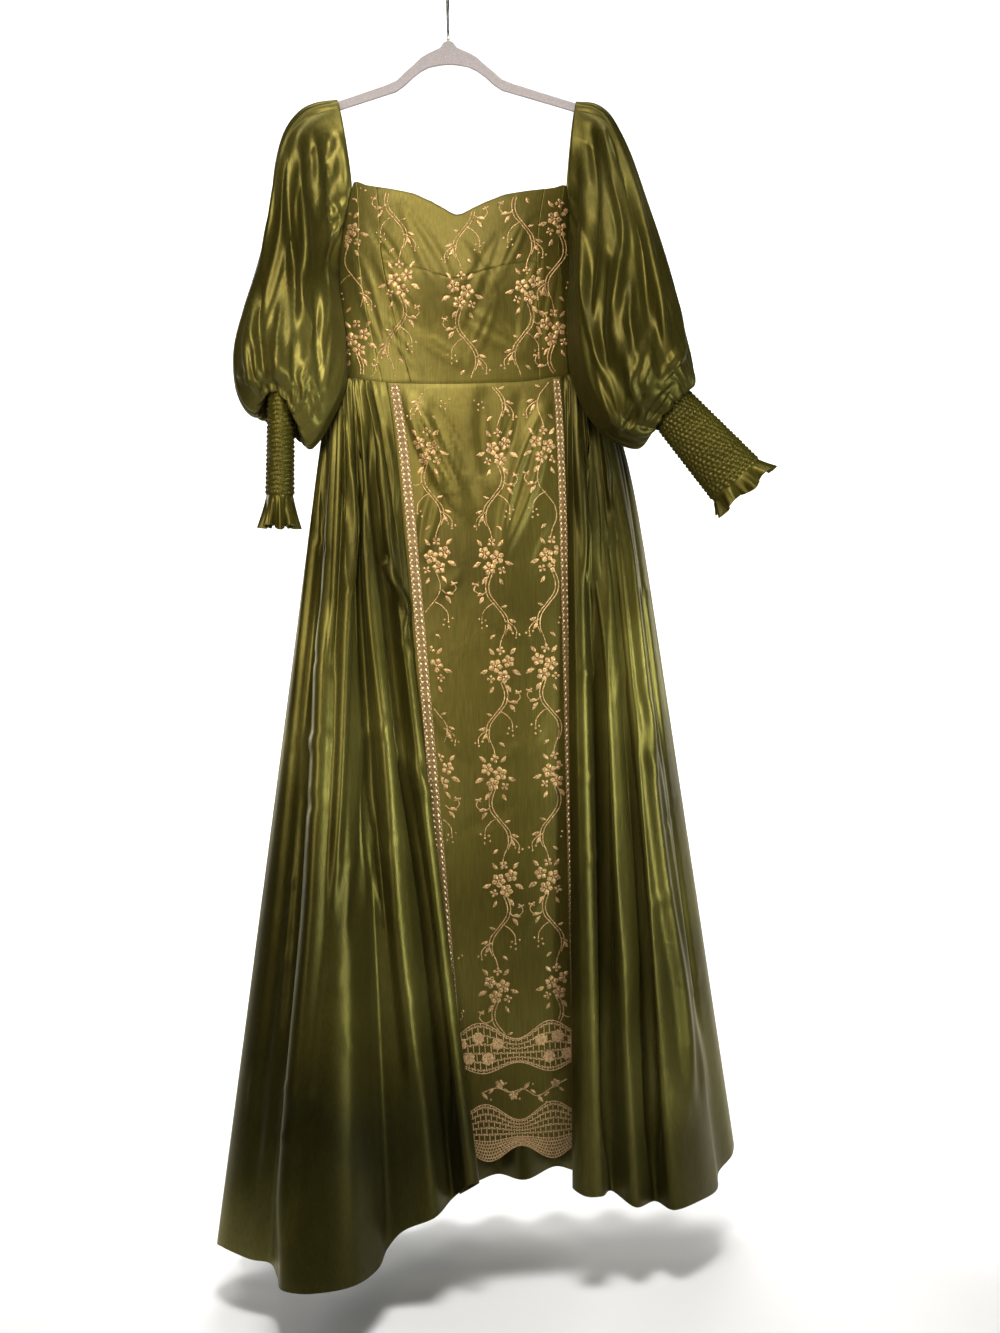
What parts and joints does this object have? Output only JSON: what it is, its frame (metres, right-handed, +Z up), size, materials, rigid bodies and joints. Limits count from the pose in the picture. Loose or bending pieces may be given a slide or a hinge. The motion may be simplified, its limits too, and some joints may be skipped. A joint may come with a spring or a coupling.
{
  "type": "floor-length gown on a hanger",
  "caption": "Floor-length olive satin gown with bishop sleeves, smocked cuffs, an embroidered front panel, gathered skirt and lace bands, hanging on a slim flocked hanger.",
  "frame": {"origin": "inside top of the hanger hook's curl, where a rail carries it", "axes": "+Z up along the hanging gown, +X to the right as seen from the front, -Y out of the gown's front"},
  "size_m": [0.7455, 0.4948, 1.6734],
  "materials": {
    "satin": "glossy olive satin",
    "embroidered_satin": "olive satin with metallic thread embroidery",
    "shirred_satin": "smocked olive satin with metallic thread",
    "gold_braid": "woven metallic braid",
    "gold_lace": "scalloped crochet lace",
    "flocked_plastic": "short grey flock",
    "steel_wire": "plated wire"
  },
  "bodies": {
    "root": {"bodice_centre_upper": "embroidered_satin", "bodice_centre_lower": "embroidered_satin", "bodice_side_front_left": "embroidered_satin", "bodice_side_front_right": "embroidered_satin", "bodice_side_left": "satin", "bodice_side_right": "satin", "bodice_back_left": "satin", "bodice_back_right": "satin", "skirt_side_front_left": "satin", "skirt_back_left": "satin", "skirt_back_right": "satin", "skirt_side_front_right": "satin", "skirt_front_panel": "embroidered_satin", "braid_left": "gold_braid", "braid_right": "gold_braid", "lace_band_upper": "gold_lace", "lace_band_lower": "gold_lace", "sleeve_left": "satin", "sleeve_right": "satin", "cuff_left": "shirred_satin", "cuff_right": "shirred_satin", "hanger_body": "flocked_plastic", "hanger_hook": "steel_wire"}
  },
  "joints": []
}
